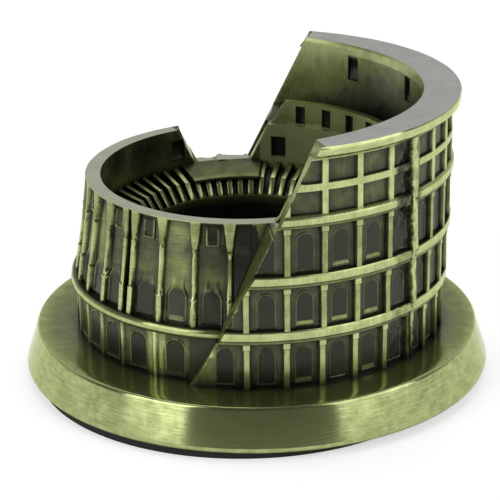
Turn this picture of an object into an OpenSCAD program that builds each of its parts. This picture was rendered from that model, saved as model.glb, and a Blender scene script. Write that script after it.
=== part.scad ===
// Miniature landmark: a ruined oval amphitheatre, die-cast in parts and mounted on a round plinth.
// +Z is up, +X points to the tall side of the ruin, and the origin is under the plinth's centre.

/* [Base] */
// Radius of the plinth at its lower edge
base_r = 50; // [49.5:0.5:54]
// Radius of the plinth's flat top
base_top_r = 47.4; // [46:0.2:48]
// Height of the metal plinth
base_h = 9; // [7:0.5:12]
// Thickness of the foam pad under the plinth
pad_h = 1.8; // [1.2:0.6:2.4]
// Radius of the foam pad
pad_r = 44.8; // [43:0.2:45]
// How far the pad sits to the left of the centre
pad_left = 2.4; // [0:0.2:3]
// How far the pad sits in front of the centre
pad_front = 3.6; // [0:0.2:4]

/* [Low ring] */
// Half length of the low ring's top, across the ruin
low_a = 34; // [33:0.2:35]
// Half width of the low ring's top
low_b = 32.5; // [31.5:0.1:33.5]
// Half length of the low ring at its foot
low_foot_a = 37.2; // [36.4:0.2:37.6]
// Wall thickness of the low ring at its top
low_wall = 3.2; // [2.6:0.1:3.6]
// Height of the low ring above the plinth
low_h = 33.5; // [32:0.5:35]
// Underside of the low ring's rounded band, above the plinth
band_z = 9.9; // [9:0.1:11]
// Height of the rounded band
band_h = 2.2; // [1.6:0.1:2.6]

/* [Tall wall] */
// Half length of the tall wall at the pilaster faces of its top storey
tall_a = 42.8; // [42:0.2:43.6]
// How much less the tall wall measures front to back than across
tall_flat = 2.4; // [1.8:0.2:3]
// Height of the tall wall above the plinth
tall_h = 52; // [50:0.5:54]
// Height of the cornice slab
cornice_h = 2.3; // [1.8:0.1:2.8]
// How far the cornice stands out past the pilasters
cornice_out = 1.75; // [1.2:0.05:2.2]
// Slope of the two broken ends, from the vertical
break_slope = 26; // [24:0.5:28]
// Place of the broken ends at the top, from the centre
break_x = 12.9; // [11.5:0.1:14]

/* [Arena] */
// Half length of the arena inside its parapet
arena_a = 22; // [21:0.2:23]
// Half width of the arena inside its parapet
arena_b = 21.3; // [20.3:0.1:22.3]
// Height of the parapet's top above the plinth
arena_h = 19.7; // [18.5:0.1:20.5]
// Thickness of the arena floor
floor_h = 3; // [2:0.5:5]
// Number of radial walls that held up the seating
rib_count = 62; // [56:2:66]

/* [Hidden] */
$fn = 96;

deck = pad_h + base_h;          // height of the plinth's top
low_x = -2;                     // centre of the low ring, arena and gallery
tall_x = -1;                    // centre of the tall wall
top_z = deck + tall_h;
low_z = deck + low_h;
low_foot_b = low_foot_a - 0.4;
low_inside_a = low_a - low_wall;
low_inside_b = low_inside_a - 1.1;
low_set_in = 0.2;               // the upper storey of the low ring stands back from the ground storey
band_top = deck + band_z + band_h;
band_out = 0.7;                 // how far the rounded band stands out
step = 5;                       // angle between the corners of the oval walls

// The tall wall's storeys: foot, height and pilaster face, from the ground arcade to the attic
storey_z = [0, 12.8, 24.9, 37.2];
storey_h = [9.8, 9.3, 10, 11.3];
storey_a = [tall_a - 1.5, tall_a - 0.7, tall_a - 0.2, tall_a];
ledge_out = [1.1, 0.9, 0.9];    // how far each string course stands out past the pilasters below it
panel_in = 0.9;                 // depth of the wall face behind the pilasters
niche_in = 0.7;                 // depth of a blind arch behind the wall face
pilaster_w = 1.5;
bay = 10;                       // angle between neighbouring pilasters
first_bay = -105;               // angles of the middle of the tall wall's first and last bays
last_bay = 75;
joint_w = 1.9;
joint_out = 0.7;                // how far the joint strip stands out past the pilasters
joint_angle = -38;              // where the two castings of the tall wall meet
break_turn = 9;                 // how far the broken ends are turned away from each other

// The inner face of the tall wall is an oval of its own, so the wall is thickest at the middle
hollow_a = 52.6;
hollow_b = 41.9;
hollow_x = -17;

// The seating's profile, as [distance from the centre, height above the plinth]
seat_foot = [arena_a + 0.6, arena_h];
seat_kink = [25, 22.9];
seat_top = [low_inside_a, 24.8];
rib_w = 0.9;
rib_proud = 1.4;
rib_crest = [seat_foot + [0.1, 0], seat_kink, seat_top - [0.5, 0]];
terrace_t = 1.2;
seat_squash = 0.7;              // front-to-back shortening of the seating and the arena

gap_z = 25;                     // floor of the gap in the low ring, above the plinth
gap_x = [-13.3, -0.9];          // ends of that floor
gap_lean = [5.2, 5.8];          // how far the gap's ends lean out over gap_h
gap_h = 12;
low_windows = [76, 119];        // angles of the openings in the low ring's inner face
tall_windows = [50, 23, -23, -50];
gallery_doors = [-60 : 12 : 66];
gallery_h = 5.2;
gallery_t = 1.5;

screw_r = 1.4;
screw_ring = 34;                // under the middle of the low ring's wall
screw_grip = 5;                 // how far the screws reach into the ring
screw_angles = [45, 135, 225, 315];
screw_head = 1.6;               // height of the screws' heads

big = 200;                      // larger than the whole model

function oval(t, a, b, cx) = [cx + a * cos(t), b * sin(t)];
function oval_points(a, b, cx, turn = step) = [for (t = [0 : turn : 359.9]) oval(t, a, b, cx)];
function heading(t, a, b) = atan2(b * cos(t), -a * sin(t));

// A straight oval drum between two heights
module drum(a, b, cx, z0, z1, turn = step) {
    translate([0, 0, z0])
        linear_extrude(z1 - z0)
            polygon(oval_points(a, b, cx, turn));
}

// An oval drum whose sides lean in
module leaning_drum(a0, b0, a1, b1, cx, z0, z1) {
    translate([cx, 0, z0])
        linear_extrude(z1 - z0, scale = [a1 / a0, b1 / b0], slices = 1)
            polygon(oval_points(a0, b0, 0));
}

// Puts its children on an oval wall at angle t: x along the wall, y into it, z up
module on_wall(t, a, b, cx) {
    translate([oval(t, a, b, cx)[0], oval(t, a, b, cx)[1], 0])
        rotate([0, 0, heading(t, a, b)])
            children();
}

// An arched opening with its foot at z, cut to the given depth
module arch(w, h, depth, z) {
    translate([-w / 2, -2, z])
        cube([w, 2 + depth, h - w / 2]);
    translate([0, -2, z + h - w / 2])
        rotate([-90, 0, 0])
            cylinder(d = w, h = 2 + depth, $fn = 32);
}

// A square-headed opening with its foot at z
module window(w, h, depth, z) {
    translate([-w / 2, -2, z])
        cube([w, 2 + depth, h]);
}

// Everything on the broken side of the slanted ends: mirrored front and back
module broken_away(shift = 0) {
    for (side = [-1, 1])
        translate([break_x + shift, side * (tall_a - tall_flat), top_z])
            rotate([0, 0, -side * break_turn])
                rotate([0, break_slope, 0])
                    translate([-big, side > 0 ? -big / 4 : -big / 2, -big])
                        cube([big, big * 0.75, 2 * big]);
}

// The block between two headings, seen from the tall wall's centre
module sector(t0, t1) {
    translate([tall_x, 0, 0])
        linear_extrude(top_z + 10)
            polygon(concat([[0, 0]], [for (k = [0 : 4]) oval(t0 + (t1 - t0) * k / 4, big / 2, big / 2, 0)]));
}

// Outer surface of the low ring, used for the ring itself and for what is fitted round it
module low_ring_outside() {
    drum(low_foot_a, low_foot_b, low_x, deck, deck + band_z);
    drum(low_foot_a + band_out, low_foot_b + band_out, low_x, deck + band_z, band_top);
    low_upper_drum();
}

module low_upper_drum() {
    leaning_drum(low_foot_a - low_set_in, low_foot_b - low_set_in, low_a, low_b, low_x, band_top, low_z);
}

// The space inside the low ring, between two heights
module low_inside(z0, z1) {
    drum(low_inside_a, low_inside_b, low_x, z0, z1);
}

// ---- base -------------------------------------------------------------------------------------

module base_pad() {
    color("#1c1c1c")
        translate([-pad_left, -pad_front, 0])
            cylinder(r = pad_r, h = pad_h);
}

module screw(angle, r, h) {
    translate([low_x + screw_ring * cos(angle), screw_ring * sin(angle), pad_h])
        cylinder(r = r, h = h, $fn = 32);
}

module base_plinth() {
    color("#8a914d")
        difference() {
            rotate_extrude()
                polygon([[0, pad_h], [base_r - 0.4, pad_h], [base_r, pad_h + 0.5],
                    [base_top_r + 0.2, deck - 0.5], [base_top_r - 0.3, deck], [0, deck]]);
            for (angle = screw_angles) {
                screw(angle, screw_r, base_h + 1);
                screw(angle, screw_r * 2, screw_head);
            }
        }
}

module fixing_screws() {
    color("#b8b8ae")
        for (angle = screw_angles)
            difference() {
                union() {
                    screw(angle, screw_r, base_h + screw_grip);
                    screw(angle, screw_r * 2, screw_head);
                }
                translate([0, 0, -0.1])
                    screw(angle, screw_r * 0.7, 1);
            }
}

// ---- arena and seating ------------------------------------------------------------------------

module arena_floor() {
    color("#1d1e14")
        drum(arena_a, arena_b, low_x, deck, deck + floor_h);
}

module arena_parapet() {
    color("#59602c")
        difference() {
            drum(seat_foot[0], seat_foot[0] - seat_squash, low_x, deck, deck + arena_h);
            drum(arena_a, arena_b, low_x, deck - 1, deck + arena_h + 1);
        }
}

// The space under a slope of the seating, between two points of its profile
module seat_cone(low, high) {
    leaning_drum(low[0], low[0] - seat_squash, high[0], high[0] - seat_squash, low_x,
        deck + low[1], deck + high[1]);
}

module seating_bowl() {
    color("#464c24")
        difference() {
            low_inside(deck, deck + seat_top[1] - rib_proud);
            drum(seat_foot[0], seat_foot[0] - seat_squash, low_x, deck - 1, top_z);
            seat_cone(seat_foot + [0.5, -rib_proud], seat_kink + [0, -rib_proud]);
            seat_cone(seat_kink + [0, -rib_proud - 0.01], seat_top + [1, 0.2]);
        }
}

// One radial wall of the seating, standing on the bowl
module rib(t, w = rib_w) {
    translate([low_x, 0, 0])
        rotate([0, 0, t])
            translate([-abs(sin(t)) * seat_squash, w / 2, deck])
                rotate([90, 0, 0])
                    linear_extrude(w)
                        polygon(concat(rib_crest, [for (k = [2 : -1 : 0]) rib_crest[k] - [0, rib_proud]]));
}

module seating_ribs() {
    color("#6d7439")
        for (k = [0 : rib_count - 1])
            rib(k * 360 / rib_count);
}

// The plain lintel and slope over the radial walls where the ring is broken down at the back
module seating_terrace() {
    color("#878f4a")
        intersection() {
            difference() {
                seat_cone(seat_kink + [0, 0.1], seat_top + [0, 0.4]);
                seat_cone(seat_kink - [terrace_t, 0], seat_top + [-terrace_t, 0.5]);
            }
            sector(84, 118);
        }
}

// ---- low ring ---------------------------------------------------------------------------------

// Angles of the columns: evenly spaced round the back and left, wider apart at the front
low_angles = concat([for (t = [90 : 10 : 220]) t], [for (k = [0 : 3]) 229.5 + 11.6 * k]);

module low_ring_arcade() {
    color("#5d6430")
        difference() {
            drum(low_foot_a, low_foot_b, low_x, deck, deck + band_z);
            low_inside(deck - 1, deck + band_z + 1);
            for (k = [0 : len(low_angles) - 2])
                on_wall((low_angles[k] + low_angles[k + 1]) / 2, low_foot_a, low_foot_b, low_x)
                    arch(3.6, 7.6, 0.9, deck + 0.8);
            for (angle = screw_angles)
                screw(angle, screw_r, base_h + screw_grip);
        }
}

module low_ring_band() {
    color("#a9b26a")
        difference() {
            drum(low_foot_a + band_out, low_foot_b + band_out, low_x, deck + band_z, band_top);
            low_inside(deck, band_top + 1);
        }
}

// The gap in the low ring at the back, with sloping ends
module gap() {
    translate([0, big / 2, deck + gap_z])
        rotate([90, 0, 0])
            linear_extrude(big / 2)
                polygon([[gap_x[0], 0], [gap_x[0] - gap_lean[0], gap_h], [gap_x[1] + gap_lean[1], gap_h],
                    [gap_x[1], 0]]);
}

module low_ring_upper() {
    color("#7d8544")
        difference() {
            union() {
                low_upper_drum();
                for (t = low_angles)
                    on_wall(t, low_foot_a - 0.5, low_foot_b - 0.5, low_x)
                        translate([0, 0, band_top + 0.2])
                            rotate([-8, 0, 0])
                                cylinder(r = 1.15, h = low_h - band_z - band_h - 0.6, $fn = 24);
            }
            low_inside(deck, low_z + 1);
            for (k = [0 : len(low_angles) - 2])
                on_wall((low_angles[k] + low_angles[k + 1]) / 2, low_foot_a - 0.9, low_foot_b - 0.9, low_x)
                    arch(3.6, 6.4, 0.9, band_top + 0.9);
            for (t = low_windows)
                on_wall(t, low_a - low_wall, low_b - low_wall, low_x)
                    translate([0, 0.8, 0])
                        window(3, 4.2, 0.2, deck + 26.6);
            gap();
        }
}

// ---- gallery and tall wall --------------------------------------------------------------------

// The ring wall that stands on the low ring inside the tall side
module gallery_wall() {
    color("#7d8544")
        difference() {
            drum(low_a, low_b, low_x, low_z, low_z + gallery_h);
            drum(low_a - gallery_t, low_b - gallery_t, low_x, low_z - 1, low_z + gallery_h + 1);
            broken_away(2);
            for (t = gallery_doors)
                on_wall(t, low_a - gallery_t, low_b - gallery_t, low_x)
                    window(1.9, 3.4, 2, low_z + 0.6);
        }
}

// A drum of the tall wall, between two heights above the plinth
module tall_drum(face, h0, h1, turn = step) {
    drum(face, face - tall_flat, tall_x, deck + h0, deck + h1, turn);
}

// The tall wall before it is divided and broken: storeys, string courses, pilasters and openings
module tall_wall() {
    difference() {
        union() {
            for (k = [0 : 3])
                tall_drum(storey_a[k] - (k < 3 ? panel_in : 0), storey_z[k], storey_z[k] + storey_h[k]);
            for (k = [0 : 2])
                tall_drum(storey_a[k] + ledge_out[k], storey_z[k] + storey_h[k], storey_z[k + 1]);
            tall_drum(tall_a + 0.2, storey_z[3] + storey_h[3], tall_h - cornice_h);
            for (k = [0 : 2])
                for (t = [first_bay - bay / 2 : bay : last_bay + bay / 2])
                    on_wall(t, storey_a[k], storey_a[k] - tall_flat, tall_x)
                        translate([-pilaster_w / 2, 0, deck + storey_z[k]])
                            cube([pilaster_w, 3, storey_h[k]]);
        }
        for (t = [first_bay : bay : last_bay]) {
            for (k = [0 : 2]) {
                face = storey_a[k] - panel_in;
                on_wall(t, face, face - tall_flat, tall_x)
                    arch(3.4, storey_h[k] - 2.2, niche_in, deck + storey_z[k] + 0.9);
            }
            for (row = [0, 1])
                on_wall(t, tall_a, tall_a - tall_flat, tall_x)
                    window(5.4, 4.4, panel_in, deck + storey_z[3] + 0.7 + row * 5.3);
        }
        low_ring_outside();
        joint_strip();
        drum(hollow_a, hollow_b, hollow_x, low_z, top_z + 1);
        broken_away();
        inner_windows();
    }
}

// Tall narrow windows in the inner face
module inner_windows() {
    for (t = tall_windows)
        on_wall(t, hollow_a, hollow_b, hollow_x)
            translate([-1, -0.9, top_z - 8.6])
                cube([2, 2, 5.6]);
}

module tall_wall_front() {
    color("#70783c")
        intersection() {
            tall_wall();
            sector(first_bay - 2 * bay, joint_angle);
        }
}

module tall_wall_side() {
    color("#7b8342")
        intersection() {
            tall_wall();
            sector(joint_angle, last_bay + 4 * bay);
        }
}

// The strip that covers the joint between the two castings, let into both of them
module joint_strip() {
    for (k = [0 : 3]) {
        face = storey_a[k] + joint_out;
        on_wall(joint_angle, face, face - tall_flat, tall_x)
            translate([-joint_w / 2, 0, deck + storey_z[k]])
                cube([joint_w, 1.9, k < 3 ? storey_z[k + 1] - storey_z[k] : storey_h[3] + 1]);
    }
}

module tall_wall_joint() {
    color("#a9b26a")
        joint_strip();
}

module tall_wall_cornice() {
    color("#b0b0a6")
        difference() {
            tall_drum(tall_a + cornice_out, tall_h - cornice_h, tall_h, 3);
            drum(hollow_a, hollow_b, hollow_x, top_z - cornice_h - 1, top_z + 1);
            broken_away();
        }
}

base_pad();
base_plinth();
fixing_screws();
arena_floor();
arena_parapet();
seating_bowl();
seating_ribs();
seating_terrace();
low_ring_arcade();
low_ring_band();
low_ring_upper();
gallery_wall();
tall_wall_front();
tall_wall_side();
tall_wall_joint();
tall_wall_cornice();
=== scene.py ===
"""Looks of a miniature landmark: a ruined oval amphitheatre, die-cast and plated in antique brass.

Lengths in this script are millimetres and angles are degrees until a mesh is made. The walls are built as
grids of rings and uprights whose relief (pilasters, arches, string courses) is worked out by a function.
"""

import math

import bmesh
import bpy
import numpy as np
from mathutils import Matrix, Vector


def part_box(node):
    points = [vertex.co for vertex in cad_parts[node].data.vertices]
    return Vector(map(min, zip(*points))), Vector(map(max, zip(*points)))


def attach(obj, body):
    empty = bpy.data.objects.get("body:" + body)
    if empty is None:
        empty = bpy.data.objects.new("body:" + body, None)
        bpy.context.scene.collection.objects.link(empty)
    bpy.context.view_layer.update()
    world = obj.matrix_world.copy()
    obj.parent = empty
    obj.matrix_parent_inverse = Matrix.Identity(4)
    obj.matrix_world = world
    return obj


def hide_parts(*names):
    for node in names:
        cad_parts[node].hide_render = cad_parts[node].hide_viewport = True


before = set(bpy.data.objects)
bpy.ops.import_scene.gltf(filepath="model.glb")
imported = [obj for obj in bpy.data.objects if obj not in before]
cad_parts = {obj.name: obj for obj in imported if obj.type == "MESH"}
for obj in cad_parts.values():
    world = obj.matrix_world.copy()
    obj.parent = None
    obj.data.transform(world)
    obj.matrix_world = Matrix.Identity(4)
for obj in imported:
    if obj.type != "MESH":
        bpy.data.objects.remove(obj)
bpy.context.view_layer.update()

MM = 0.001


def foot_of(node):
    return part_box(node)[0].z / MM


def top_of(node):
    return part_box(node)[1].z / MM


# ---- sizes -------------------------------------------------------------------------------------

DECK = top_of("base_plinth")
TOP = top_of("tall_wall_cornice")
LOW_TOP = top_of("low_ring_upper")
BAND_FOOT = foot_of("low_ring_band")
BAND_TOP = top_of("low_ring_band")
RIM = top_of("arena_parapet")
GALLERY_TOP = top_of("gallery_wall")

TALL_X = -1.0               # centre of the tall wall
TALL_FLAT = 2.4             # how much less it measures front to back than across
STOREY_FOOT = np.array([0.0, 12.8, 24.9, 37.2])
STOREY_HIGH = np.array([9.8, 9.3, 10.0, 11.3])
STOREY_FACE = np.array([41.3, 42.1, 42.6, 42.8])
LEDGE_OUT = np.array([0.75, 0.65, 0.6, 0.0])
PANEL_IN = 0.9
NICHE_IN = 0.85
JOINT = -38.0               # angle of the joint between the tall wall's two castings
PILASTERS = np.array([-120.0, -104.2, -91.6, -80.3, -69.8, -59.4, -48.7, JOINT] + list(range(-29, 125, 10)))
PLAIN_END = -100.5          # left of this the tall wall is plain
PILASTER_HALF = 0.64
TALL_ARCH_HALF = 1.72
ATTIC_PANELS = ((0.35, 5.3), (6.8, 11.6))   # foot and head of the top storey's two rows of panels
SILLED = ((3, 5), (3, 4, 5), (4, 5))        # bays with a bright sill, for each storey from the ground up
CORNICE_H = 2.3
CORNICE_OUT = 1.75
WALL_TOP = TOP - CORNICE_H
INNER_WINDOWS = (52.0, 21.5, -21.5, -52.0)
INNER_WINDOW = (1.3, -8.0, -2.6)            # half width, and foot and head measured from the wall's top

HOLLOW_A, HOLLOW_B, HOLLOW_X = 52.6, 41.9, -17.0

BREAK_X = 12.9              # where the slanted break meets the wall's top
BREAK_RUN = math.tan(math.radians(26))
BREAK_TURN = math.tan(math.radians(9))
BREAK_Y = 40.4

LOW_X = -2.0
LOW_A, LOW_B = 34.0, 32.5
LOW_FOOT_A, LOW_FOOT_B = 37.2, 36.8
LOW_WALL_A, LOW_WALL_B = 30.8, 29.7
LOW_COLUMNS = np.array([204.1 - 10.4 * k for k in range(14, 0, -1)] + [
    204.1, 214.7, 224.4, 228.3, 240.2, 252.5, 264.6, 276, 288])
LOW_SEAM = 226.3            # groove between two of the low ring's columns
BLACK_BAY = 20              # the bay that is one tall dark niche
LOW_PIERS = np.array([203.8 - 10.6 * k for k in range(13, 0, -1)] + [
    203.8, 214.4, 225.3, 238.9, 253.5, 265, 276, 288])
BRIGHT_PIER = (235.8, 242.7)
LOW_PLAIN = 251.0           # from here to the tall wall the low ring's ground storey is plain
PANEL_BACK = 1.2            # the low ring's panels lie this far behind its columns
LOW_WINDOWS = ((76.0, 26.0, 30.6), (119.0, 26.4, 31.0))     # angle, foot and head, in its inner face
LIT_INSIDE = (40, 84)       # angles between which its inner face is painted bright, a painted highlight
PLAIN_FROM, PLAIN_TO = 272.0, 432.0     # where the tall wall hides the low ring

NOTCH_Z = DECK + 25         # floor of the gap in the low ring, its two ends and how far they lean
NOTCH_X = (-13.3, -0.9)
NOTCH_LEAN = (0.43, 0.483)

DOORS = [67.5 - 11.35 * k for k in range(12)]
GALLERY_T = 1.5

ARENA_R = 22.0

SEAT_FOOT = (22.6, 19.7)
SEAT_KINK = (25.0, 22.9)
SEAT_TOP = (LOW_WALL_A, 24.8)
RIB_PROUD = 1.4
SEAT_SQUASH = 0.7
RIBS = 62

# ---- small tools -------------------------------------------------------------------------------


def ramp(x, at, width):
    """0 below at, 1 above it, with a straight slope of that width between."""
    return np.clip((x - at) / width + 0.5, 0, 1)


def strip(x, low, high, soft):
    return ramp(x, low, soft) * (1 - ramp(x, high, soft))


def scatter(i, j, k, seed):
    """A repeatable number from 0 to 1 for each whole-number cell."""
    h = (i * 374761393 + j * 668265263 + k * 2147483647 + seed * 974711) & 0xFFFFFFFF
    h = ((h ^ (h >> 13)) * 1274126177) & 0xFFFFFFFF
    return ((h ^ (h >> 16)) & 0xFFFF) / 65535.0


def noise(x, y, z, size, seed=0):
    """Smooth noise from -1 to 1 whose lumps are about size across."""
    p = [np.asarray(c, float) / size for c in (x, y, z)]
    p = np.broadcast_arrays(*p)
    cell = [np.floor(c).astype(np.int64) for c in p]
    f = [c - n for c, n in zip(p, cell)]
    f = [t * t * (3 - 2 * t) for t in f]
    total = 0
    for di in (0, 1):
        for dj in (0, 1):
            for dk in (0, 1):
                w = 1
                for along, side in zip(f, (di, dj, dk)):
                    w = w * (along if side else 1 - along)
                total = total + w * scatter(cell[0] + di, cell[1] + dj, cell[2] + dk, seed)
    return total * 2 - 1


def oval(t, a, b, cx):
    r = np.radians(t)
    return cx + a * np.cos(r), b * np.sin(r)


def broken_top(x, y):
    """Height of the slanted break over a point of the tall wall."""
    lean = (np.abs(y) - BREAK_Y) * BREAK_TURN
    return TOP + (x - BREAK_X - lean) / BREAK_RUN


def rows(*stops):
    """One sorted list of stops, from numbers and lists, with near repeats dropped."""
    flat = np.sort(np.concatenate([np.atleast_1d(np.asarray(s, float)) for s in stops]))
    keep = [flat[0]]
    for v in flat[1:]:
        if v - keep[-1] > 0.04:
            keep.append(v)
    return np.array(keep)


def hidden_low(t):
    """Where the tall wall covers the low ring's outer face."""
    return (t > PLAIN_FROM) | (t < PLAIN_TO - 360)


# ---- making meshes -----------------------------------------------------------------------------


def make_object(name, points, faces, wear_and_painted_light, slots, materials, sharp=38):
    """A mesh object from points in millimetres. The value per point is 0 in dark recesses and 1 on polished
    edges, and on some inner faces it also holds a painted highlight.
    """
    mesh = bpy.data.meshes.new(name)
    bm = bmesh.new()
    layer = bm.verts.layers.float.new("wear_and_painted_light")
    made = []
    for p, w in zip(points, wear_and_painted_light):
        v = bm.verts.new((p[0] * MM, p[1] * MM, p[2] * MM))
        v[layer] = w
        made.append(v)
    for face, slot in zip(faces, slots):
        f = bm.faces.new([made[i] for i in face])
        f.material_index = slot
        f.smooth = True
    bmesh.ops.remove_doubles(bm, verts=bm.verts, dist=0.004 * MM)
    bmesh.ops.dissolve_degenerate(bm, edges=bm.edges, dist=0.003 * MM)
    bm.to_mesh(mesh)
    bm.free()
    for m in materials:
        mesh.materials.append(m)
    mesh.set_sharp_from_angle(angle=math.radians(sharp))
    obj = bpy.data.objects.new(name, mesh)
    bpy.context.scene.collection.objects.link(obj)
    return obj


def grid_wall(name, angles, outer, outer_rows, inner, inner_rows, materials, limit=None, closed=False):
    """A wall between two surfaces: outer(t, z) and inner(t, z) give x, y and wear.

    limit(x, y) is the height that the wall is broken down to. materials are those of the outer face, the top
    or broken face and the inner face.
    """
    def surface(shape, heights):
        t, z = np.meshgrid(angles, heights)
        x, y, w = shape(t, z)
        if limit is not None:
            for _ in range(3):
                low = np.maximum(np.minimum(z, limit(x, y)), heights[0])
                x, y, w = shape(t, low)
            w = np.where(low < z - 0.02, 1.0, w)
            z = low
        return np.stack([x, y, z], -1), w

    out, out_wear = surface(outer, outer_rows)
    inn, inn_wear = surface(inner, inner_rows)
    if limit is not None and not closed:
        stands = (out[-1, :, 2] > outer_rows[0] + 0.01) | (inn[-1, :, 2] > inner_rows[0] + 0.01)
        stands = np.flatnonzero(stands)
        part = slice(max(stands[0] - 1, 0), stands[-1] + 2)
        out, out_wear, inn, inn_wear = out[:, part], out_wear[:, part], inn[:, part], inn_wear[:, part]
    m, n = out.shape[:2]
    k = inn.shape[0]
    points = np.concatenate([out.reshape(-1, 3), inn.reshape(-1, 3)])
    wear_and_painted_light = np.concatenate([out_wear.ravel(), inn_wear.ravel()])
    o = np.arange(m * n).reshape(m, n)
    q = m * n + np.arange(k * n).reshape(k, n)
    last = n if closed else n - 1
    faces, slots = [], []
    for i in range(last):
        j = (i + 1) % n
        for r in range(m - 1):
            faces.append((o[r, i], o[r, j], o[r + 1, j], o[r + 1, i]))
            slots.append(0)
        for r in range(k - 1):
            faces.append((q[r, i], q[r + 1, i], q[r + 1, j], q[r, j]))
            slots.append(2)
        faces.append((o[m - 1, i], o[m - 1, j], q[k - 1, j], q[k - 1, i]))
        faces.append((o[0, j], o[0, i], q[0, i], q[0, j]))
        slots += [1, 2]
    if not closed:
        faces.append(tuple(o[:, 0]) + tuple(q[::-1, 0]))
        faces.append(tuple(q[:, -1]) + tuple(o[::-1, -1]))
        slots += [1, 1]
    return make_object(name, points, faces, wear_and_painted_light, slots, materials)


def dress_breaks(wall, material):
    """Give the sloping parts of a wall's top, where it is broken, a material of their own."""
    wall.data.materials.append(material)
    for face in wall.data.polygons:
        if face.material_index == 1 and face.normal.z < 0.97:
            face.material_index = len(wall.data.materials) - 1


def settle(piece, node):
    """Fix a piece to the body and let it stand for its CAD node."""
    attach(piece, "root")
    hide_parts(node)


def ring(name, profile, materials, centre=LOW_X, squash=SEAT_SQUASH, turns=180, start=0, sweep=360):
    """A ring turned from a closed profile of (radius, height, wear), seen anticlockwise from outside."""
    closed = sweep == 360
    count = turns if closed else turns + 1
    t = np.radians(start + np.arange(count) * sweep / turns)
    points, wear_and_painted_light = [], []
    for a in t:
        for r, z, w in profile:
            points.append((centre + r * math.cos(a), (r - squash) * math.sin(a), z))
            wear_and_painted_light.append(w)
    p = len(profile)
    faces = []
    for i in range(turns):
        j = (i + 1) % count
        for k in range(p):
            above = (k + 1) % p
            faces.append((i * p + k, j * p + k, j * p + above, i * p + above))
    if not closed:
        faces.append(tuple(range(p))[::-1])
        faces.append(tuple(turns * p + k for k in range(p)))
    return make_object(name, points, faces, wear_and_painted_light, [0] * len(faces), materials)


# ---- materials ---------------------------------------------------------------------------------


class Nodes:
    """A short way to write a material's nodes."""

    def __init__(self, name):
        self.material = bpy.data.materials.new(name)
        self.material.use_nodes = True
        self.tree = self.material.node_tree
        self.shader = self.tree.nodes["Principled BSDF"]

    def add(self, kind, **values):
        node = self.tree.nodes.new(kind)
        for key, value in values.items():
            if hasattr(node, key):
                setattr(node, key, value)
            else:
                node.inputs[key.replace("_", " ")].default_value = value
        return node

    def link(self, source, target):
        self.tree.links.new(source, target)

    def math(self, operation, a, b=None, clamp=False):
        node = self.add("ShaderNodeMath", operation=operation, use_clamp=clamp)
        for socket, value in zip(node.inputs, (a, b)):
            if value is None:
                continue
            if isinstance(value, (int, float)):
                socket.default_value = value
            else:
                self.link(value, socket)
        return node.outputs[0]

    def ramp(self, factor, stops):
        node = self.add("ShaderNodeValToRGB")
        band = node.color_ramp
        while len(band.elements) < len(stops):
            band.elements.new(0.5)
        for element, (place, colour) in zip(band.elements, stops):
            element.position = place
            element.color = (*colour, 1)
        self.link(factor, node.inputs[0])
        return node.outputs[0]

    def noise(self, size_mm, detail=3, stretch=(1, 1, 1)):
        """Noise whose lumps are about size_mm across, stretched along the axes."""
        place = self.add("ShaderNodeTexCoord").outputs["Object"]
        scale = self.add("ShaderNodeMapping")
        scale.inputs["Scale"].default_value = [1 / (size_mm * MM * s) for s in stretch]
        self.link(place, scale.inputs["Vector"])
        node = self.add("ShaderNodeTexNoise", Scale=1.0, Detail=float(detail), Roughness=0.6)
        self.link(scale.outputs[0], node.inputs["Vector"])
        return node.outputs["Fac"]


PATINA = (0.007, 0.007, 0.006)
OLIVE = (0.054, 0.058, 0.027)
BRASS_MID = (0.18, 0.21, 0.065)
BRASS_BRIGHT = (0.48, 0.54, 0.24)


def antique_brass(name, base_wear=None, grain=(1, 1, 9), crevice_patina_and_shade=1.0, rough=0.22, streaks=0.30,
                  coat_rough=0.20, metal=1.0, bumps=0.3):
    """Lacquered brass plating under dark patina, which stays in recesses and is rubbed off raised parts. An
    occlusion mask darkens hollows and creases further, partly as patina and partly as painted shade.

    base_wear is used instead of the mesh's wear. grain is how far the brush lines stretch along each axis.
    """
    n = Nodes(name)
    if base_wear is None:
        wear_and_painted_light = n.add("ShaderNodeAttribute", attribute_name="wear_and_painted_light").outputs["Fac"]
    else:
        wear_and_painted_light = n.math("ADD", n.math("MULTIPLY", n.noise(14, 2), 0.5), base_wear - 0.25)
    blotch = n.math("MULTIPLY", n.math("SUBTRACT", n.noise(2.6, 4), 0.5), 0.45)
    streak = n.math("MULTIPLY", n.math("SUBTRACT", n.noise(0.35, 2, grain), 0.5), streaks)
    # Darkening from occlusion in hollows and creases: patina kept there, and painted shade as well.
    hollow = n.add("ShaderNodeAmbientOcclusion", samples=6)
    hollow.inputs["Distance"].default_value = 2.2 * MM
    dark = n.math("MULTIPLY", n.math("SUBTRACT", 1.0, hollow.outputs["AO"]), crevice_patina_and_shade)
    mix = n.math("ADD", n.math("ADD", wear_and_painted_light, blotch), n.math("SUBTRACT", streak, dark), clamp=True)
    n.link(n.ramp(mix, [(0.05, PATINA), (0.32, OLIVE), (0.62, BRASS_MID), (1.0, BRASS_BRIGHT)]),
           n.shader.inputs["Base Color"])
    n.link(n.math("ADD", n.math("MULTIPLY", mix, 0.75 * metal), 0.25 * metal), n.shader.inputs["Metallic"])
    n.link(n.math("SUBTRACT", rough + 0.18, n.math("MULTIPLY", mix, 0.18)), n.shader.inputs["Roughness"])
    n.shader.inputs["Coat Weight"].default_value = 0.22
    n.shader.inputs["Specular Tint"].default_value = (0.88, 0.93, 0.62, 1)
    n.shader.inputs["Coat Roughness"].default_value = coat_rough
    bump = n.add("ShaderNodeBump", Strength=bumps, Distance=0.05 * MM)
    n.link(n.math("ADD", n.noise(0.5, 4), n.noise(0.25, 2, grain)), bump.inputs["Height"])
    n.link(bump.outputs[0], n.shader.inputs["Normal"])
    return n.material


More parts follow.
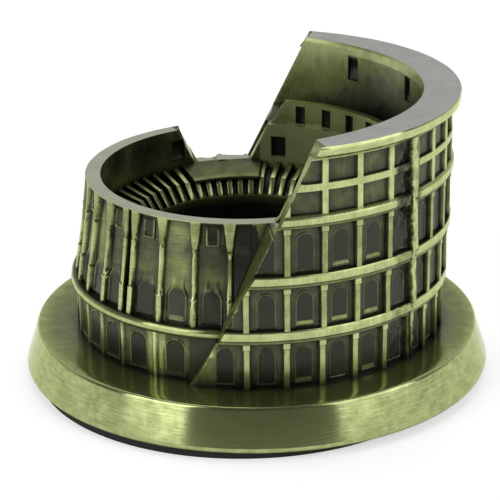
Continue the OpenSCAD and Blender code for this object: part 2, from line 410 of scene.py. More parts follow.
def flat_brass(name, low, high):
    """The brushed flat tops, paler and greyer than the walls."""
    n = Nodes(name)
    blotch = n.math("MULTIPLY", n.noise(5, 4), 0.6)
    shade = n.math("ADD", blotch, n.math("MULTIPLY", n.noise(0.4, 2, (8, 1, 1)), 0.4))
    n.link(n.ramp(shade, [(0.25, low), (0.7, high)]), n.shader.inputs["Base Color"])
    n.shader.inputs["Metallic"].default_value = 0.85
    n.link(n.math("ADD", n.math("MULTIPLY", shade, 0.2), 0.30), n.shader.inputs["Roughness"])
    bump = n.add("ShaderNodeBump", Strength=0.3, Distance=0.04 * MM)
    n.link(n.noise(0.3, 3, (6, 1, 1)), bump.inputs["Height"])
    n.link(bump.outputs[0], n.shader.inputs["Normal"])
    return n.material


def foam(name):
    n = Nodes(name)
    cells = n.noise(0.35, 4)
    n.link(n.ramp(cells, [(0.3, (0.006, 0.006, 0.006)), (0.7, (0.020, 0.020, 0.021))]),
           n.shader.inputs["Base Color"])
    n.shader.inputs["Roughness"].default_value = 0.95
    bump = n.add("ShaderNodeBump", Strength=0.8, Distance=0.15 * MM)
    n.link(cells, bump.inputs["Height"])
    n.link(bump.outputs[0], n.shader.inputs["Normal"])
    return n.material


def steel(name):
    n = Nodes(name)
    shade = n.noise(0.6, 3)
    n.link(n.ramp(shade, [(0.3, (0.32, 0.32, 0.31)), (0.7, (0.55, 0.55, 0.53))]),
           n.shader.inputs["Base Color"])
    n.shader.inputs["Metallic"].default_value = 1.0
    n.link(n.math("ADD", n.math("MULTIPLY", shade, 0.2), 0.3), n.shader.inputs["Roughness"])
    return n.material


RELIEF = antique_brass("antique_brass_relief")
BRUSHED = antique_brass("antique_brass_brushed", grain=(14, 14, 1), rough=0.12, streaks=0.34, coat_rough=0.12,
                        bumps=0.10)
DECKING = antique_brass("antique_brass_deck", grain=(10, 3, 1), rough=0.11, streaks=0.12, coat_rough=0.12,
                        bumps=0.15)
CUT = antique_brass("antique_brass_cut", base_wear=0.68)
INSIDE = antique_brass("antique_brass_inside", crevice_patina_and_shade=0.6, metal=0.55)
SLAB_TOP = flat_brass("pale_grey_flat_top", (0.33, 0.33, 0.31), (0.52, 0.52, 0.49))
RING_TOP = flat_brass("pale_olive_flat_top", (0.36, 0.38, 0.27), (0.52, 0.55, 0.40))
FOAM = foam("black_foam")
STEEL = steel("zinc_plated_steel")

# ---- tall wall ---------------------------------------------------------------------------------


def nearest(t, stops):
    """Signed angle from the nearest stop, signed angle from the middle of the bay, and the bay's number."""
    k = np.clip(np.searchsorted(stops, t) - 1, 0, len(stops) - 2)
    left, right = stops[k], stops[k + 1]
    from_stop = np.where(t - left < right - t, t - left, t - right)
    return from_stop, t - (left + right) / 2, k


def arch_distance(v, s, half, foot, top):
    """Distance outside an arched opening: below 0 is inside it."""
    spring = top - half
    d = np.where(s < spring, np.abs(v) - half, np.hypot(v, s - spring) - half)
    return np.maximum(d, foot - s)


def box_distance(v, s, half, low, high):
    return np.maximum(np.abs(v) - half, np.maximum(low - s, s - high))


def ledge_profile(q):
    """Section of a string course from its underside, 0, to its top, 1: a fillet under a broad fascia."""
    return np.interp(q, [0, 0.06, 0.22, 0.29, 0.36, 0.94, 1], [0.1, 0.4, 0.45, 0.45, 0.95, 1.0, 0.8])


def tall_storey(h):
    return np.clip(np.searchsorted(STOREY_FOOT, h, side="right") - 1, 0, 3)


def arcade_storey(stop, mid, bay, s, k, t):
    """Pilasters and blind arches: level behind the pilaster face, and wear."""
    high = STOREY_HIGH[k]
    around = STOREY_FACE[k] * math.pi / 180
    u, v = np.abs(stop) * around, mid * around
    cap = strip(s, high - 1.15, high + 0.2, 0.10)
    half = PILASTER_HALF + 0.16 * cap
    pilaster = (PANEL_IN + 0.16 * cap) * ramp(half - u, 0.0, 0.12)
    pilaster = pilaster * (t - stop > PLAIN_END)
    d = arch_distance(v, s, TALL_ARCH_HALF, 0.9, high - 1.5)
    inside = ramp(-d, 0.08, 0.16)
    rim = strip(d, 0.06, 0.36, 0.12)
    shape = np.clip((2.05 - s) / 1.0, 0, 1) * inside * (np.abs(v) < 2.3 - 0.45 * s)
    silled = sum((k == storey) & np.isin(bay, bays) for storey, bays in enumerate(SILLED))
    sill = (NICHE_IN + 0.05) * shape * silled
    level = np.maximum(pilaster, 0.12 * rim - NICHE_IN * inside + sill) - PANEL_IN
    on_pilaster = pilaster > 0.5 * PANEL_IN
    wear_and_painted_light = 0.38 + 0.02 * rim - 0.44 * inside + 0.75 * (sill > 0.15)
    wear_and_painted_light = np.where(t < PLAIN_END, 0.55, wear_and_painted_light)
    wear_and_painted_light = np.where(on_pilaster, 0.84 - 0.06 * k + 0.1 * cap, wear_and_painted_light)
    return level, wear_and_painted_light


def attic_storey(stop, bay, s):
    u = np.abs(stop) * STOREY_FACE[3] * math.pi / 180
    panels = [np.maximum(PILASTER_HALF - u, np.maximum(low - s, s - high)) for low, high in ATTIC_PANELS]
    deep = ramp(-np.minimum(*panels), 0.10, 0.18)
    light = scatter(bay, 3, (s > 6).astype(int), 5)
    return -0.75 * deep, 0.92 - deep * (0.72 - 0.22 * light)


def tall_relief(t, z):
    """Distance of the face from the wall's centre line, and its wear, at angle t and height z."""
    h = z - DECK
    k = tall_storey(h)
    s = h - STOREY_FOOT[k]
    stop, mid, bay = nearest(t, PILASTERS)
    level, wear_and_painted_light = arcade_storey(stop, mid, bay, s, k, t)
    attic_level, attic_wear = attic_storey(stop, bay, s)
    level = np.where(k == 3, attic_level, level)
    wear_and_painted_light = np.where(k == 3, attic_wear, wear_and_painted_light)
    ledge_h = np.roll(STOREY_FOOT, -1)[k] - STOREY_FOOT[k] - STOREY_HIGH[k]
    q = np.clip((s - STOREY_HIGH[k]) / ledge_h, 0, 1)
    on_ledge = (s > STOREY_HIGH[k]) & (k < 3)
    level = np.where(on_ledge, LEDGE_OUT[k] * ledge_profile(q), level)
    ledge_wear = np.interp(q, [0, 0.1, 0.2, 0.27, 0.34, 1], [0.3, 0.6, 0.6, 0.3, 0.9, 0.95])
    wear_and_painted_light = np.where(on_ledge, ledge_wear, wear_and_painted_light)
    return STOREY_FACE[k] + level, wear_and_painted_light, h


def rough_patch(t, h):
    """Where the casting left of the joint came out rough, from 0 to 1."""
    across = strip(t, -46.5, JOINT + 0.4, 2.0)
    return across * np.interp(h, [0, 10, 13, 24, 26, 36, 48, 50], [0.3, 0.3, 0.2, 0.25, 0.6, 0.9, 0.9, 0.2])


def tall_outer(t, z):
    face, wear_and_painted_light, h = tall_relief(t, z)
    x, y = oval(t, face, face - TALL_FLAT, TALL_X)
    patch = rough_patch(t, h)
    lumps = noise(x, y, z, 1.1, 3) * 0.55 + noise(x, y, z, 0.5, 4) * 0.3
    face = face + patch * (lumps * 0.7 - 0.15) + noise(x, y, z, 2.5, 1) * 0.05
    wear_and_painted_light = wear_and_painted_light * (1 - 0.85 * patch) + patch * (0.08 + 0.4 * lumps)
    x, y = oval(t, face, face - TALL_FLAT, TALL_X)
    return x, y, wear_and_painted_light


def low_size(z):
    """Half length and half width of the low ring's wall face at height z."""
    q = np.clip((z - BAND_TOP) / (LOW_TOP - BAND_TOP), 0, 1)
    a = LOW_FOOT_A - 0.2 + (LOW_A - LOW_FOOT_A + 0.2) * q
    b = LOW_FOOT_B - 0.2 + (LOW_B - LOW_FOOT_B + 0.2) * q
    return a, b


def towards(t, a, b, cx, outer_a, outer_b):
    """Point on the oval a, b, cx on the line from the tall wall's centre to its face at angle t."""
    dx, dy = oval(t, outer_a, outer_b, 0)
    e = TALL_X - cx
    p = (dx / a) ** 2 + (dy / b) ** 2
    q = e * dx / a ** 2
    r = (e / a) ** 2 - 1
    k = (-q + np.sqrt(np.maximum(q * q - p * r, 0))) / p
    return TALL_X + k * dx, k * dy


def tall_inner(t, z):
    a, b = low_size(z)
    below = z < LOW_TOP + 0.01
    x0, y0 = towards(t, np.where(below, a, HOLLOW_A), np.where(below, b, HOLLOW_B),
                     np.where(below, LOW_X, HOLLOW_X), STOREY_FACE[3], STOREY_FACE[3] - TALL_FLAT)
    slot = 0
    for at in INNER_WINDOWS:
        v = (t - at) * 0.6
        d = box_distance(v, z - TOP, *INNER_WINDOW)
        slot = np.maximum(slot, ramp(-d, 0.1, 0.2) * ~below)
    x0 = x0 + slot * np.cos(np.radians(t))
    y0 = y0 + slot * np.sin(np.radians(t))
    # Painted highlight and shade: the inner face is painted brighter towards its top and its ends, and darker
    # low down in its middle.
    painted_top_light = ramp(z, LOW_TOP + 11, 13)
    side = ramp(np.abs(t), 54, 26)
    wear_and_painted_light = np.where(below, 0.1, 0.06 + 0.55 * painted_top_light + 0.35 * side) - 0.9 * slot
    return x0, y0, wear_and_painted_light


def tall_angles(start, end):
    """Uprights close together at pilaster, arch and window edges."""
    per = STOREY_FACE[1] * math.pi / 180
    near = np.array([0.0, 0.3, 0.56, 0.62, 0.70, 0.78, 0.88, 1.0, 1.2])
    stops = []
    for left, right in zip(PILASTERS[:-1], PILASTERS[1:]):
        half = (right - left) / 2 * per
        arch = half - np.array([2.2, 2.08, 1.95, 1.82, 1.74, 1.66, 1.58, 1.45, 1.25, 1.0, 0.75, 0.5, 0.25,
                                0.0])
        u = rows(near, arch[arch > 0])
        u = u[u <= half]
        stops += [left + u / per, right - u / per]
    windows = [at + np.array([-2.4, -2.2, -1.9, 1.9, 2.2, 2.4]) for at in INNER_WINDOWS]
    t = rows(*stops, *windows, start, end)
    t = t[(t >= start) & (t <= end)]
    keep = np.concatenate([[True], np.diff(t) > 0.07])
    return t[keep]


def tall_rows(low, high):
    z = []
    for k in range(3):
        f, s = STOREY_FOOT[k], STOREY_HIGH[k]
        step = STOREY_FOOT[k + 1] - f - s
        z.append(f + np.array([0, 0.5, 0.66, 0.8, 0.9, 1.0, 1.1, 1.3, 1.6, 1.9, 2.1, 2.8, 3.6, 4.6, 5.6]))
        z.append(f + s - np.array([3.5, 3.25, 3.0, 2.75, 2.5, 2.3, 2.1, 1.95, 1.8, 1.7, 1.6, 1.52, 1.44,
                                   1.35, 1.2, 1.1, 0.9, 0.5, 0.0]))
        z.append(f + s + step * np.array([0.02, 0.07, 0.15, 0.22, 0.27, 0.30, 0.36, 0.5, 0.8, 0.93, 0.985]))
    f = STOREY_FOOT[3]
    z.append(f + np.array([0, 0.34, 0.42, 0.5, 0.6, 0.9, 2, 3, 4, 5, 5.08, 5.16, 5.25, 5.35, 6, 6.75, 6.85,
                           6.93, 7.02, 7.3, 8, 9, 10, 11, 11.3, 11.4, 11.48, 11.56, 11.65, 12.2]))
    z = rows(*z) + DECK
    return z[(z >= low) & (z <= high)]


def tall_wall(name, start, end, node):
    inner_rows = np.concatenate([
        [DECK, BAND_FOOT, BAND_TOP, (BAND_TOP + LOW_TOP) / 2, LOW_TOP, LOW_TOP + 0.02],
        np.linspace(LOW_TOP + 2, TOP - 8.6, 5), TOP - np.array([8.4, 8.3, 8.1, 7.9, 6, 4, 2.6])])
    wall = grid_wall(name, tall_angles(start, end), tall_outer, rows(tall_rows(DECK, WALL_TOP), WALL_TOP),
                     tall_inner, rows(inner_rows[inner_rows < WALL_TOP], WALL_TOP),
                     [RELIEF, CUT, INSIDE], limit=broken_top)
    settle(wall, node)


tall_wall("tall_wall_front_casting", -108.5, JOINT, "tall_wall_front")
tall_wall("tall_wall_side_casting", JOINT, 108.5, "tall_wall_side")


def joint_outer(t, z):
    """The ragged strip over the joint of the two castings."""
    h = z - DECK
    centre = JOINT + 1.0 - 0.0625 * h + 0.12 * noise(0, 0, z, 5, 8)
    half = np.interp(h, [0, 8, 14, 50], [0.5, 0.75, 1.15, 1.3]) + 0.14 * noise(0, 3, z, 1.6, 9)
    half = half + 0.10 * noise(np.sign(t - centre) * 5, 3, z, 0.6, 10)
    rise = ramp(half - np.abs(t - centre), 0.0, 0.3)
    crest = np.interp(h, [0, 11, 13, 23, 25, 36, 38], [41.6, 41.8, 42.5, 42.6, 43.0, 43.1, 43.3])
    face = crest - 1.5 + rise * (1.5 + 0.10 * noise(t, 0, z, 0.8, 11))
    x, y = oval(t, face, face - TALL_FLAT, TALL_X)
    bright = np.interp(h, [0, 6, 12], [0.35, 0.5, 0.85])
    return x, y, 0.05 + bright * rise + 0.2 * noise(t, 1, z, 0.9, 12)


def joint_inner(t, z):
    face = STOREY_FACE[tall_storey(z - DECK)] - 2.4
    x, y = oval(t, face, face - TALL_FLAT, TALL_X)
    return x, y, x * 0 + 0.2


joint_rows = np.arange(DECK, WALL_TOP - 0.2, 0.3)
joint = grid_wall("joint_strip", np.arange(JOINT - 3.9, JOINT + 2.4, 0.15), joint_outer, joint_rows,
                  joint_inner, joint_rows, [RELIEF, RELIEF, RELIEF])
settle(joint, "tall_wall_joint")


def cornice_outer(t, z):
    q = (z - WALL_TOP) / CORNICE_H
    face = STOREY_FACE[3] + CORNICE_OUT * np.interp(q, [0, 0.1, 0.22, 0.9, 1], [0.62, 0.80, 0.96, 1, 0.93])
    x, y = oval(t, face, face - TALL_FLAT, TALL_X)
    face = face + noise(x, y, z, 3, 21) * 0.06
    x, y = oval(t, face, face - TALL_FLAT, TALL_X)
    return x, y, np.interp(q, [0, 0.12, 0.2, 1], [0.3, 0.6, 0.95, 1.0]) + 0.1 * noise(x, y, z, 2, 22)


def cornice_inner(t, z):
    x, y = towards(t, HOLLOW_A, HOLLOW_B, HOLLOW_X, STOREY_FACE[3], STOREY_FACE[3] - TALL_FLAT)
    inset = 0.12 * ramp(z, TOP - 0.1, 0.2)
    return x + inset * np.cos(np.radians(t)), y + inset * np.sin(np.radians(t)), x * 0 + 0.85


cornice_ends = np.arange(68, 78, 0.15)
cornice_angles = rows(-cornice_ends, np.arange(-68, 68.1, 1.0), cornice_ends)
cornice = grid_wall("cornice_slab", cornice_angles, cornice_outer,
                    WALL_TOP + CORNICE_H * np.array([0, 0.1, 0.22, 0.5, 0.9, 0.94, 0.98, 1]), cornice_inner,
                    WALL_TOP + CORNICE_H * np.array([0, 0.5, 0.92, 0.96, 1]), [BRUSHED, SLAB_TOP, INSIDE],
                    limit=broken_top)
dress_breaks(cornice, CUT)
settle(cornice, "tall_wall_cornice")

# ---- low ring ----------------------------------------------------------------------------------


def notch_top(x, y):
    """Height of the low ring where it is broken down at the back."""
    left = NOTCH_Z + (NOTCH_X[0] - x) / NOTCH_LEAN[0]
    right = NOTCH_Z + (x - NOTCH_X[1]) / NOTCH_LEAN[1]
    worn = NOTCH_Z + 0.5 * noise(x, 0, 0, 2.5, 31)
    gap = np.maximum(worn, np.maximum(left, right))
    return np.where(y > 5, gap, 1e3)


def low_column(u, h, s):
    """A flat column with a tall flared capital, a neck ring, a collar and a pedestal."""
    ring_at = strip(h, 5.9, 6.4, 0.15) + strip(s, 5.3, 5.8, 0.15)
    pedestal = 1 - ramp(s, 5.4, 0.3)
    half = np.interp(h, [0, 0.6, 5.4, 6.2], [1.5, 1.45, 0.74, 0.64]) + 0.14 * ring_at + 0.10 * pedestal
    proud = PANEL_BACK + np.interp(h, [0, 6], [0.0, -0.25]) + 0.15 * ring_at + 0.12 * pedestal
    return proud * np.sqrt(np.clip(1 - (u / half) ** 5, 0, 1))


def low_upper_outer(t, z):
    a, b = low_size(z)
    x, y = oval(t, a, b, LOW_X)
    stop, mid, bay = nearest(t, LOW_COLUMNS)
    around = a * math.pi / 180
    u, v = np.abs(stop) * around, mid * around
    u = u + 0.10 * noise(t / 3, 5, z, 1.6, 36)
    h = LOW_TOP - z
    s = z - BAND_TOP
    column = low_column(np.abs(u), h, s)
    arch = arch_distance(v, s, 1.85, 0.6, 7.2)
    inside = ramp(-arch, 0.1, 0.15)
    rim = strip(arch, 0.05, 0.42, 0.14) * (s > 0.4)
    steps = np.clip(0.8 - 0.45 * (s - 0.6), 0, 0.8) * inside * (bay % 2 == 0)
    with_window = bay % 2 == 1
    window = box_distance(v, h, 0.85, 1.7, 4.5)
    opening = ramp(-window, 0.1, 0.18) * with_window
    surround = strip(window, 0.1, 0.6, 0.15) * with_window
    niche = ramp(-arch_distance(v, s, 2.4, 0.2, 20.6), 0.1, 0.25)
    black = bay == BLACK_BAY
    panel = 0.2 * rim + 0.35 * surround + steps - 0.6 * inside - 0.6 * opening
    relief = np.where(black, -0.9 * niche, panel)
    coping = PANEL_BACK * (1 - ramp(h, 0.4, 0.15))
    groove = 1 - ramp(np.abs(t - LOW_SEAM), 0.6, 0.3)
    level = np.maximum(column, np.maximum(relief, coping)) - PANEL_BACK - 0.9 * groove * (h > 0.6)
    wear_and_painted_light = 0.36 + 0.16 * noise(bay * 3.3, s / 5, 0, 1.0, 33) + 0.18 * (bay % 2 == 0) * strip(s, 8, 18, 6)
    wear_and_painted_light = wear_and_painted_light - 0.42 * inside - 0.5 * opening + 0.08 * rim + 0.25 * surround + 0.45 * (steps > 0.3)
    wear_and_painted_light = np.where(black, 0.02, wear_and_painted_light)
    worn = 0.72 + 0.2 * noise(t / 4, 2, z, 4, 37) + 0.15 * ramp(h, 6, 1)
    wear_and_painted_light = np.where(column > 0.6, worn, wear_and_painted_light)
    wear_and_painted_light = np.where(coping > 0.6, 0.8, wear_and_painted_light)
    wear_and_painted_light = np.where(groove > 0.4, 0.0, wear_and_painted_light)
    level = level + 0.05 * noise(x, y, z, 2.2, 34)
    level = np.where(hidden_low(t), 0, np.minimum(level, 0.15))
    x, y = oval(t, a + level, b + level, LOW_X)
    return x, y, wear_and_painted_light


def low_inner(t, z):
    a, b = LOW_WALL_A, LOW_WALL_B
    pocket = 0
    for at, low, high in LOW_WINDOWS:
        d = box_distance((t - at) * 0.52, z - DECK, 1.55, low, high)
        pocket = np.maximum(pocket, ramp(-d, 0.1, 0.2))
    x, y = oval(t, a + 1.2 * pocket, b + 1.2 * pocket, LOW_X)
    stain = 0.3 * noise(x, y, z, 6, 35)
    # Painted highlight: between the LIT_INSIDE angles the inner face is painted bright, and elsewhere it
    # keeps a darker tone.
    light = np.where((t > LIT_INSIDE[0]) & (t < LIT_INSIDE[1]), 1.15, 0.36)
    return x, y, np.clip(light + stain, 0, 1) * (1 - pocket)


def low_angles(columns):
    per = LOW_FOOT_A * math.pi / 180
    near = np.array([0.0, 0.3, 0.6, 0.8, 0.95, 1.1, 1.3, 1.5, 1.75])
    stops = []
    for left, right in zip(columns[:-1], columns[1:]):
        half = (right - left) / 2 * per
        arch = half - np.array([2.5, 2.3, 2.1, 1.95, 1.8, 1.65, 1.5, 1.2, 0.95, 0.8, 0.6, 0.3, 0.0])
        u = rows(near, arch[arch > 0])
        u = u[u <= half]
        stops += [left + u / per, right - u / per]
    gap = np.arange(82, 122, 0.5)
    seam = LOW_SEAM + np.array([-0.9, -0.7, -0.5, 0.5, 0.7, 0.9])
    jambs = np.array([-3.4, -3.2, -2.9, -2.7, 2.7, 2.9, 3.2, 3.4])
    windows = np.concatenate([window[0] + jambs for window in LOW_WINDOWS])
    t = rows(*stops, gap, seam, windows, np.arange(0, 60, 2.5), np.arange(288, 360, 2.5))
    keep = np.concatenate([[True], np.diff(t) > 0.1])
    return t[keep]


low_rows = np.concatenate([
    BAND_TOP + np.array([0, 0.3, 0.55, 0.7, 0.85, 1.3, 1.8, 2.3, 3.3, 4.3, 4.7, 5.0, 5.3, 5.5, 5.7, 5.9, 6.1,
                         6.3, 6.5, 6.65, 6.8, 7.1, 8, 10, 12, 14]),
    LOW_TOP - np.array([6.7, 6.4, 6.1, 5.8, 5.5, 5.2, 5.0, 4.8, 4.5, 3.5, 2.5, 2.2, 2.0, 1.7, 1.4, 1.0, 0.8,
                        0.6, 0.12, 0.0])])
inner_low_rows = np.concatenate([
    [BAND_TOP, BAND_TOP + 6],
    DECK + np.array([22, 24, 25.8, 26.1, 26.3, 26.5, 28, 30.4, 30.7, 30.9, 31.1, 32.5]),
    [LOW_TOP]])
low_upper = grid_wall("low_ring_columns", low_angles(LOW_COLUMNS), low_upper_outer, rows(low_rows),
                      low_inner, rows(inner_low_rows), [BRUSHED, RING_TOP, INSIDE], limit=notch_top,
                      closed=True)
dress_breaks(low_upper, CUT)
settle(low_upper, "low_ring_upper")


def low_arcade_outer(t, z):
    a, b = LOW_FOOT_A - 0.9, LOW_FOOT_B - 0.9
    stop, mid, _ = nearest(t, LOW_PIERS)
    around = a * math.pi / 180
    u, v = np.abs(stop) * around, mid * around
    s = z - DECK
    arch = arch_distance(v, s, 1.95, 0.8, 8.4)
    inside = ramp(-arch, 0.1, 0.18)
    rim = strip(arch, 0.05, 0.5, 0.16)
    pier = 1 - ramp(u, 0.55, 0.25)
    sill = np.clip(0.7 - 0.7 * (s - 0.8), 0, 0.7) * inside
    level = np.maximum(0.22 * rim + sill - 1.1 * inside, 0.5 * pier)
    plain = t > LOW_PLAIN
    level = np.where(plain, 0.0, level)
    wear_and_painted_light = 0.46 + 0.4 * (pier > 0.5) + 0.1 * rim - 0.5 * inside + 0.45 * (sill > 0.2)
    wear_and_painted_light = wear_and_painted_light + 0.35 * strip(t, *BRIGHT_PIER, 1.0)
    wear_and_painted_light = np.where(plain, 0.14, wear_and_painted_light)
    level = np.where(hidden_low(t), 0, level)
    x, y = oval(t, a + level, b + level, LOW_X)
    return x, y, wear_and_painted_light


def plain_inner(t, z):
    x, y = oval(t, LOW_WALL_A, LOW_WALL_B, LOW_X)
    return x, y, x * 0 + 0.2


arcade_rows = DECK + np.array([0, 0.7, 0.85, 1.0, 1.3, 1.7, 2.1, 3, 4, 5, 6, 6.4, 6.7, 7.0, 7.3, 7.6, 7.8,
                               8.0, 8.15, 8.3, 8.5, 8.7, 9.2])
arcade = grid_wall("low_ring_arcade_casting", low_angles(LOW_PIERS), low_arcade_outer,
                   rows(arcade_rows, BAND_FOOT), plain_inner, np.array([DECK, BAND_FOOT]),
                   [RELIEF, RELIEF, INSIDE], closed=True)
settle(arcade, "low_ring_arcade")


def band_outer(t, z):
    q = (z - BAND_FOOT) / (BAND_TOP - BAND_FOOT)
    bulge = 0.75 * np.sqrt(np.clip(1 - (2 * q - 1) ** 2 * 0.9, 0, 1))
    face = bulge + 0.06 * noise(t * 0.6, 0, z, 2, 41)
    x, y = oval(t, LOW_FOOT_A - 0.1 + face, LOW_FOOT_B - 0.1 + face, LOW_X)
    return x, y, 0.25 + 0.6 * np.sqrt(np.clip(1 - (2 * q - 1) ** 2, 0, 1))


band = grid_wall("low_ring_band_casting", np.arange(0, 360, 1.5), band_outer,
                 np.linspace(BAND_FOOT, BAND_TOP, 12), plain_inner, np.array([BAND_FOOT, BAND_TOP]),
                 [BRUSHED, RELIEF, INSIDE], closed=True)
settle(band, "low_ring_band")

# ---- gallery -----------------------------------------------------------------------------------


def gallery_outer(t, z):
    x, y = oval(t, LOW_A, LOW_B, LOW_X)
    return x, y, x * 0 + 0.35


def gallery_inner(t, z):
    door = 0
    for at in DOORS:
        d = box_distance((t - at) * 0.56, z - LOW_TOP, 1.1, 0.2, 4.2)
        door = np.maximum(door, ramp(-d, 0.08, 0.16))
    x, y = oval(t, LOW_A - GALLERY_T + 1.2 * door, LOW_B - GALLERY_T + 1.2 * door, LOW_X)
    return x, y, 0.8 * (1 - door) + 0.15 * noise(x, y, z, 4, 51)


def gallery_limit(x, y):
    return broken_top(x - 2, y)


door_edges = np.concatenate([at + np.array([-2.2, -2.0, -1.8, 0, 1.8, 2.0, 2.2]) for at in DOORS])
gallery = grid_wall("gallery_wall_casting", rows(np.arange(-80, 80.1, 2), door_edges), gallery_outer,
                    np.array([LOW_TOP, LOW_TOP + 2.6, GALLERY_TOP]), gallery_inner,
                    LOW_TOP + np.array([0, 0.15, 0.3, 0.4, 2.2, 4.0, 4.1, 4.25, 4.4, 5.0, 5.2]),
                    [INSIDE, CUT, INSIDE], limit=gallery_limit)
settle(gallery, "gallery_wall")

# ---- arena and seating -------------------------------------------------------------------------

parapet = ring("arena_parapet_casting", [
    (ARENA_R, DECK, 0.0), (SEAT_FOOT[0], DECK, 0.0), (SEAT_FOOT[0], RIM - 0.3, 0.2), (22.5, RIM, 0.9),
    (22.1, RIM, 1.0), (ARENA_R, RIM - 0.35, 0.5), (ARENA_R, RIM - 2.5, 0.05)], [RELIEF])
settle(parapet, "arena_parapet")

bowl = ring("seating_bowl_casting", [
    (SEAT_FOOT[0], DECK, 0.0), (LOW_WALL_A, DECK, 0.0), (LOW_WALL_A, DECK + SEAT_TOP[1] - RIB_PROUD, 0.15),
    (SEAT_KINK[0], DECK + SEAT_KINK[1] - RIB_PROUD, 0.15),
    (SEAT_FOOT[0], DECK + SEAT_FOOT[1] - RIB_PROUD, 0.0)], [RELIEF])
settle(bowl, "seating_bowl")


def radial_ribs():
    """The radial walls of the seating, each a thin fin with a worn top edge."""
    points, faces, wear_and_painted_light = [], [], []
    section = [(SEAT_FOOT[0] + 0.1, SEAT_FOOT[1] - RIB_PROUD, 0.1), (SEAT_FOOT[0] + 0.1, SEAT_FOOT[1], 0.9),
               (SEAT_KINK[0], SEAT_KINK[1], 1.0), (SEAT_TOP[0] - 0.4, SEAT_TOP[1], 0.6),
               (SEAT_TOP[0] - 0.4, SEAT_TOP[1] - RIB_PROUD, 0.1),
               (SEAT_KINK[0], SEAT_KINK[1] - RIB_PROUD, 0.1)]
    for k in range(RIBS):
        t = math.radians(k * 360 / RIBS)
        width = 0.55 + 0.1 * float(noise(k * 1.7, 0, 0, 1, 61))
        # The ribs are brighter towards the back of the ring and darker towards the front.
        worn = 0.62 + 0.38 * math.sin(t)
        shift = -abs(math.sin(t)) * SEAT_SQUASH
        first = len(points)
        for side in (-1, 1):
            for r, z, w in section:
                grow = 1 if w > 0.3 else 1.25
                along, across = r + shift, side * width * grow
                points.append((LOW_X + along * math.cos(t) - across * math.sin(t),
                               along * math.sin(t) + across * math.cos(t), DECK + z))
                wear_and_painted_light.append(w * worn)
        m = len(section)
        faces.append(tuple(first + i for i in range(m)))
        faces.append(tuple(first + m + i for i in range(m))[::-1])
        for i in range(m):
            j = (i + 1) % m
            faces.append((first + j, first + i, first + m + i, first + m + j))
    return make_object("seating_rib_castings", points, faces, wear_and_painted_light, [0] * len(faces), [RELIEF])


ribs = radial_ribs()
soften = ribs.modifiers.new("soft_edges", "BEVEL")
soften.width = 0.12 * MM
soften.segments = 2
settle(ribs, "seating_ribs")

terrace = ring("seating_terrace_casting", [
    (SEAT_KINK[0] - 0.9, DECK + SEAT_KINK[1] - 0.1, 0.5), (SEAT_TOP[0], DECK + SEAT_TOP[1] - 0.1, 0.3),
    (SEAT_TOP[0], DECK + SEAT_TOP[1] + 0.4, 0.35), (SEAT_KINK[0], DECK + SEAT_KINK[1] + 0.9, 0.5),
    (SEAT_KINK[0] - 0.5, DECK + SEAT_KINK[1] + 0.75, 0.55),
    (SEAT_KINK[0] - 0.9, DECK + SEAT_KINK[1] + 0.4, 1.0)], [RELIEF], start=83, sweep=35, turns=36)
settle(terrace, "seating_terrace")

# ---- base --------------------------------------------------------------------------------------

BASE_FOOT = foot_of("base_plinth")
BASE_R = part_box("base_plinth")[1].x / MM
BASE_TOP_R = 47.4
plinth = ring("plinth_casting", [
    (0.01, BASE_FOOT, 0.3), (BASE_R - 0.5, BASE_FOOT, 0.3), (BASE_R - 0.12, BASE_FOOT + 0.15, 0.6),
    (BASE_R, BASE_FOOT + 0.55, 0.85), (BASE_R - 0.12, BASE_FOOT + 1.1, 0.8),
    (BASE_TOP_R + 0.22, DECK - 0.7, 0.8), (BASE_TOP_R + 0.12, DECK - 0.3, 0.95),
    (BASE_TOP_R - 0.12, DECK - 0.06, 1.0), (BASE_TOP_R - 0.45, DECK, 0.8),
    (45.0, DECK, 0.62), (40.0, DECK, 0.42), (0.01, DECK, 0.2)],
    [BRUSHED], centre=0, squash=0, turns=240)
plinth.data.materials.append(DECKING)
for face in plinth.data.polygons:
    if face.normal.z > 0.8:
        face.material_index = 1
settle(plinth, "base_plinth")

for node, material in (("base_pad", FOAM), ("fixing_screws", STEEL), ("arena_floor", RELIEF)):
    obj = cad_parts[node]
    obj.data.materials.clear()
    obj.data.materials.append(material)

# ---- stage, light and camera -------------------------------------------------------------------


def stage():
    mesh = bpy.data.meshes.new("floor")
    size = 3.0
    corners = [(-size, -size, 0), (size, -size, 0), (size, size, 0), (-size, size, 0)]
    mesh.from_pydata(corners, [], [(0, 1, 2, 3)])
    floor = bpy.data.objects.new("floor", mesh)
    bpy.context.scene.collection.objects.link(floor)
    n = Nodes("pale_floor")
    n.shader.inputs["Base Color"].default_value = (0.9, 0.9, 0.9, 1)
    n.shader.inputs["Roughness"].default_value = 0.8
    n.shader.inputs["Emission Color"].default_value = (1, 1, 1, 1)
    n.shader.inputs["Emission Strength"].default_value = 0.55
    mesh.materials.append(n.material)


def soft_box(name, azimuth, distance, height, wide, tall, brightness):
    """A soft box. Azimuth turns anticlockwise, seen from above, from the camera's side of the object."""
    data = bpy.data.lights.new(name, "AREA")
    data.shape = "RECTANGLE"
    data.size, data.size_y = wide, tall
    data.energy = brightness * math.pi * wide * tall
    light = bpy.data.objects.new(name, data)
    bpy.context.scene.collection.objects.link(light)
    turn = math.radians(azimuth)
    light.location = (distance * math.sin(turn), -distance * math.cos(turn), height)
    light.rotation_euler = (-light.location).to_track_quat("-Z", "Y").to_euler()


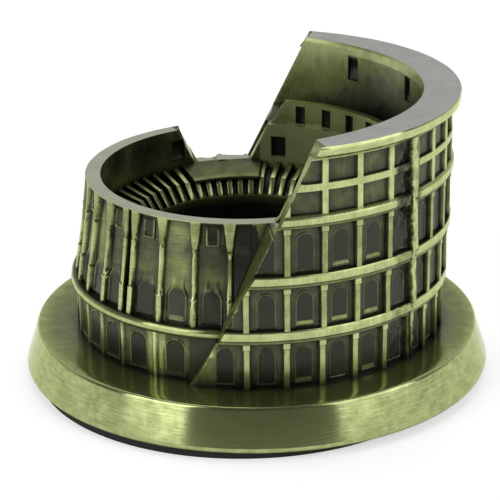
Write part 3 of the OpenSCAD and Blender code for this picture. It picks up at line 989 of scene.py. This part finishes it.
def studio():
    """A pale room that is darker towards the camera and brighter behind the object."""
    world = bpy.data.worlds.new("studio")
    bpy.context.scene.world = world
    world.use_nodes = True
    tree = world.node_tree
    place = tree.nodes.new("ShaderNodeTexCoord")
    split = tree.nodes.new("ShaderNodeSeparateXYZ")
    spread = tree.nodes.new("ShaderNodeMapRange")
    shade = tree.nodes.new("ShaderNodeValToRGB")
    tree.links.new(place.outputs["Generated"], split.inputs[0])
    spread.inputs["From Min"].default_value = -1
    tree.links.new(split.outputs["Y"], spread.inputs["Value"])
    tree.links.new(spread.outputs[0], shade.inputs[0])
    band = shade.color_ramp
    band.elements.new(0.5)
    band.elements.new(0.7)
    levels = ((0.08, 0.06), (0.5, 0.17), (0.7, 0.5), (1.0, 0.75))
    for element, (at, level) in zip(band.elements, levels):
        element.position = at
        element.color = (level, level, level, 1)
    tree.links.new(shade.outputs[0], tree.nodes["Background"].inputs[0])


stage()
studio()
soft_box("left_box", -50, 0.8, 0.34, 0.52, 0.70, 2.4)
soft_box("right_box", 60, 0.8, 0.34, 0.72, 0.70, 1.7)
soft_box("top_box", 180, 0.3, 0.85, 0.7, 0.5, 0.8)
bpy.context.scene.view_settings.view_transform = "Standard"

ELEVATION, ROLL = math.radians(21.79), math.radians(-0.733)
DISTANCE = 498.0
IMAGE_WIDTH, FOCAL_PIXELS = 500, 2309.6     # the focal length in pixels of an image that wide
AIM = Vector((-1.2, 0, 23.9 + BASE_FOOT)) * MM
camera_data = bpy.data.cameras.new("camera")
camera = bpy.data.objects.new("camera", camera_data)
bpy.context.scene.collection.objects.link(camera)
bpy.context.scene.camera = camera
camera_data.lens = FOCAL_PIXELS * camera_data.sensor_width / IMAGE_WIDTH
camera_data.clip_start = 0.01
camera.location = AIM + Vector((0, -math.cos(ELEVATION), math.sin(ELEVATION))) * DISTANCE * MM
turn = Matrix.Rotation(math.pi / 2 - ELEVATION, 4, "X") @ Matrix.Rotation(ROLL, 4, "Z")
camera.rotation_euler = turn.to_euler()

bpy.context.view_layer.update()
